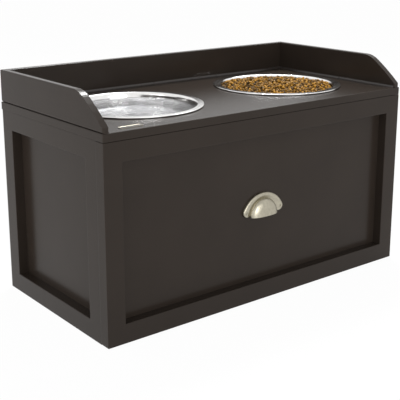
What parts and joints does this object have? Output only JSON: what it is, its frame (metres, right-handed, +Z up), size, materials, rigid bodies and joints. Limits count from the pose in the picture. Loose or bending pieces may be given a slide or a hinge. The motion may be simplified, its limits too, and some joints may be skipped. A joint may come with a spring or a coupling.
{
  "type": "elevated dog feeder with storage drawer",
  "caption": "Free-standing raised pet feeder: a frame-and-panel cabinet with a storage drawer under a gallery-edged tray that holds lift-out steel bowls.",
  "frame": {"origin": "middle of the cabinet's footprint, on the floor", "axes": "+X to the right as seen from the front, +Y to the back, +Z up; the drawer opens towards -Y"},
  "size_m": [0.6, 0.3, 0.362],
  "materials": {
    "painted_board": "dark brown-grey satin paint",
    "sealant": "dark silicone sealant, smooth",
    "drawer_board": "dark melamine foil",
    "beech": "bare beech",
    "stainless_steel": "polished stainless steel",
    "satin_nickel": "satin nickel plate",
    "zinc_plate": "bright zinc plate"
  },
  "bodies": {
    "cabinet": {"top_board": "painted_board", "gallery_back": "painted_board", "gallery_left": "painted_board", "gallery_right": "painted_board", "tray_seal": "sealant", "left_front_stile": "painted_board", "left_rear_stile": "painted_board", "left_top_rail": "painted_board", "left_bottom_rail": "painted_board", "left_panel": "painted_board", "right_front_stile": "painted_board", "right_rear_stile": "painted_board", "right_top_rail": "painted_board", "right_bottom_rail": "painted_board", "right_panel": "painted_board", "bottom_board": "painted_board", "back_panel": "painted_board", "front_stretcher": "painted_board", "rear_stretcher": "painted_board", "frame_dowels": "beech", "gallery_dowels": "beech", "cam_discs": "zinc_plate", "cam_bolts": "zinc_plate", "back_panel_screws": "zinc_plate", "left_cabinet_runner": "zinc_plate", "right_cabinet_runner": "zinc_plate", "cabinet_runner_screws": "zinc_plate"},
    "drawer": {"drawer_left_stile": "painted_board", "drawer_right_stile": "painted_board", "drawer_top_rail": "painted_board", "drawer_bottom_rail": "painted_board", "drawer_front_panel": "painted_board", "drawer_subfront": "drawer_board", "drawer_left_side": "drawer_board", "drawer_right_side": "drawer_board", "drawer_back": "drawer_board", "drawer_bottom": "drawer_board", "drawer_front_screws": "zinc_plate", "drawer_box_screws": "zinc_plate", "cup_pull": "satin_nickel", "cup_pull_screws": "satin_nickel", "left_drawer_runner": "zinc_plate", "right_drawer_runner": "zinc_plate", "drawer_runner_screws": "zinc_plate"},
    "left_middle": {"left_middle_runner": "zinc_plate"},
    "right_middle": {"right_middle_runner": "zinc_plate"},
    "left_outer_cage": {"left_outer_cage": "zinc_plate", "left_outer_balls": "stainless_steel"},
    "right_outer_cage": {"right_outer_cage": "zinc_plate", "right_outer_balls": "stainless_steel"},
    "left_inner_cage": {"left_inner_cage": "zinc_plate", "left_inner_balls": "stainless_steel"},
    "right_inner_cage": {"right_inner_cage": "zinc_plate", "right_inner_balls": "stainless_steel"},
    "left_bowl": {"left_bowl": "stainless_steel"},
    "right_bowl": {"right_bowl": "stainless_steel"}
  },
  "joints": [
    {"name": "drawer_slide", "type": "slide", "parent": "cabinet", "child": "drawer", "axis": [0, -1, 0], "range_m": [0, 0.25]},
    {"name": "left_runner_slide", "type": "slide", "parent": "cabinet", "child": "left_middle", "axis": [0, -1, 0], "range_m": [0, 0.125]},
    {"name": "right_runner_slide", "type": "slide", "parent": "cabinet", "child": "right_middle", "axis": [0, -1, 0], "range_m": [0, 0.125]},
    {"name": "left_outer_cage_slide", "type": "slide", "parent": "cabinet", "child": "left_outer_cage", "axis": [0, -1, 0], "range_m": [0, 0.0625]},
    {"name": "left_inner_cage_slide", "type": "slide", "parent": "cabinet", "child": "left_inner_cage", "axis": [0, -1, 0], "range_m": [0, 0.1875]},
    {"name": "right_outer_cage_slide", "type": "slide", "parent": "cabinet", "child": "right_outer_cage", "axis": [0, -1, 0], "range_m": [0, 0.0625]},
    {"name": "right_inner_cage_slide", "type": "slide", "parent": "cabinet", "child": "right_inner_cage", "axis": [0, -1, 0], "range_m": [0, 0.1875]},
    {"name": "left_bowl_lift", "type": "slide", "parent": "cabinet", "child": "left_bowl", "axis": [0, 0, 1], "range_m": [0, 0.12]},
    {"name": "right_bowl_lift", "type": "slide", "parent": "cabinet", "child": "right_bowl", "axis": [0, 0, 1], "range_m": [0, 0.12]}
  ],
  "couplings": [
    {"joint": "left_runner_slide", "follows": "drawer_slide", "ratio": 0.5},
    {"joint": "right_runner_slide", "follows": "drawer_slide", "ratio": 0.5},
    {"joint": "left_outer_cage_slide", "follows": "drawer_slide", "ratio": 0.25},
    {"joint": "left_inner_cage_slide", "follows": "drawer_slide", "ratio": 0.75},
    {"joint": "right_outer_cage_slide", "follows": "drawer_slide", "ratio": 0.25},
    {"joint": "right_inner_cage_slide", "follows": "drawer_slide", "ratio": 0.75}
  ]
}
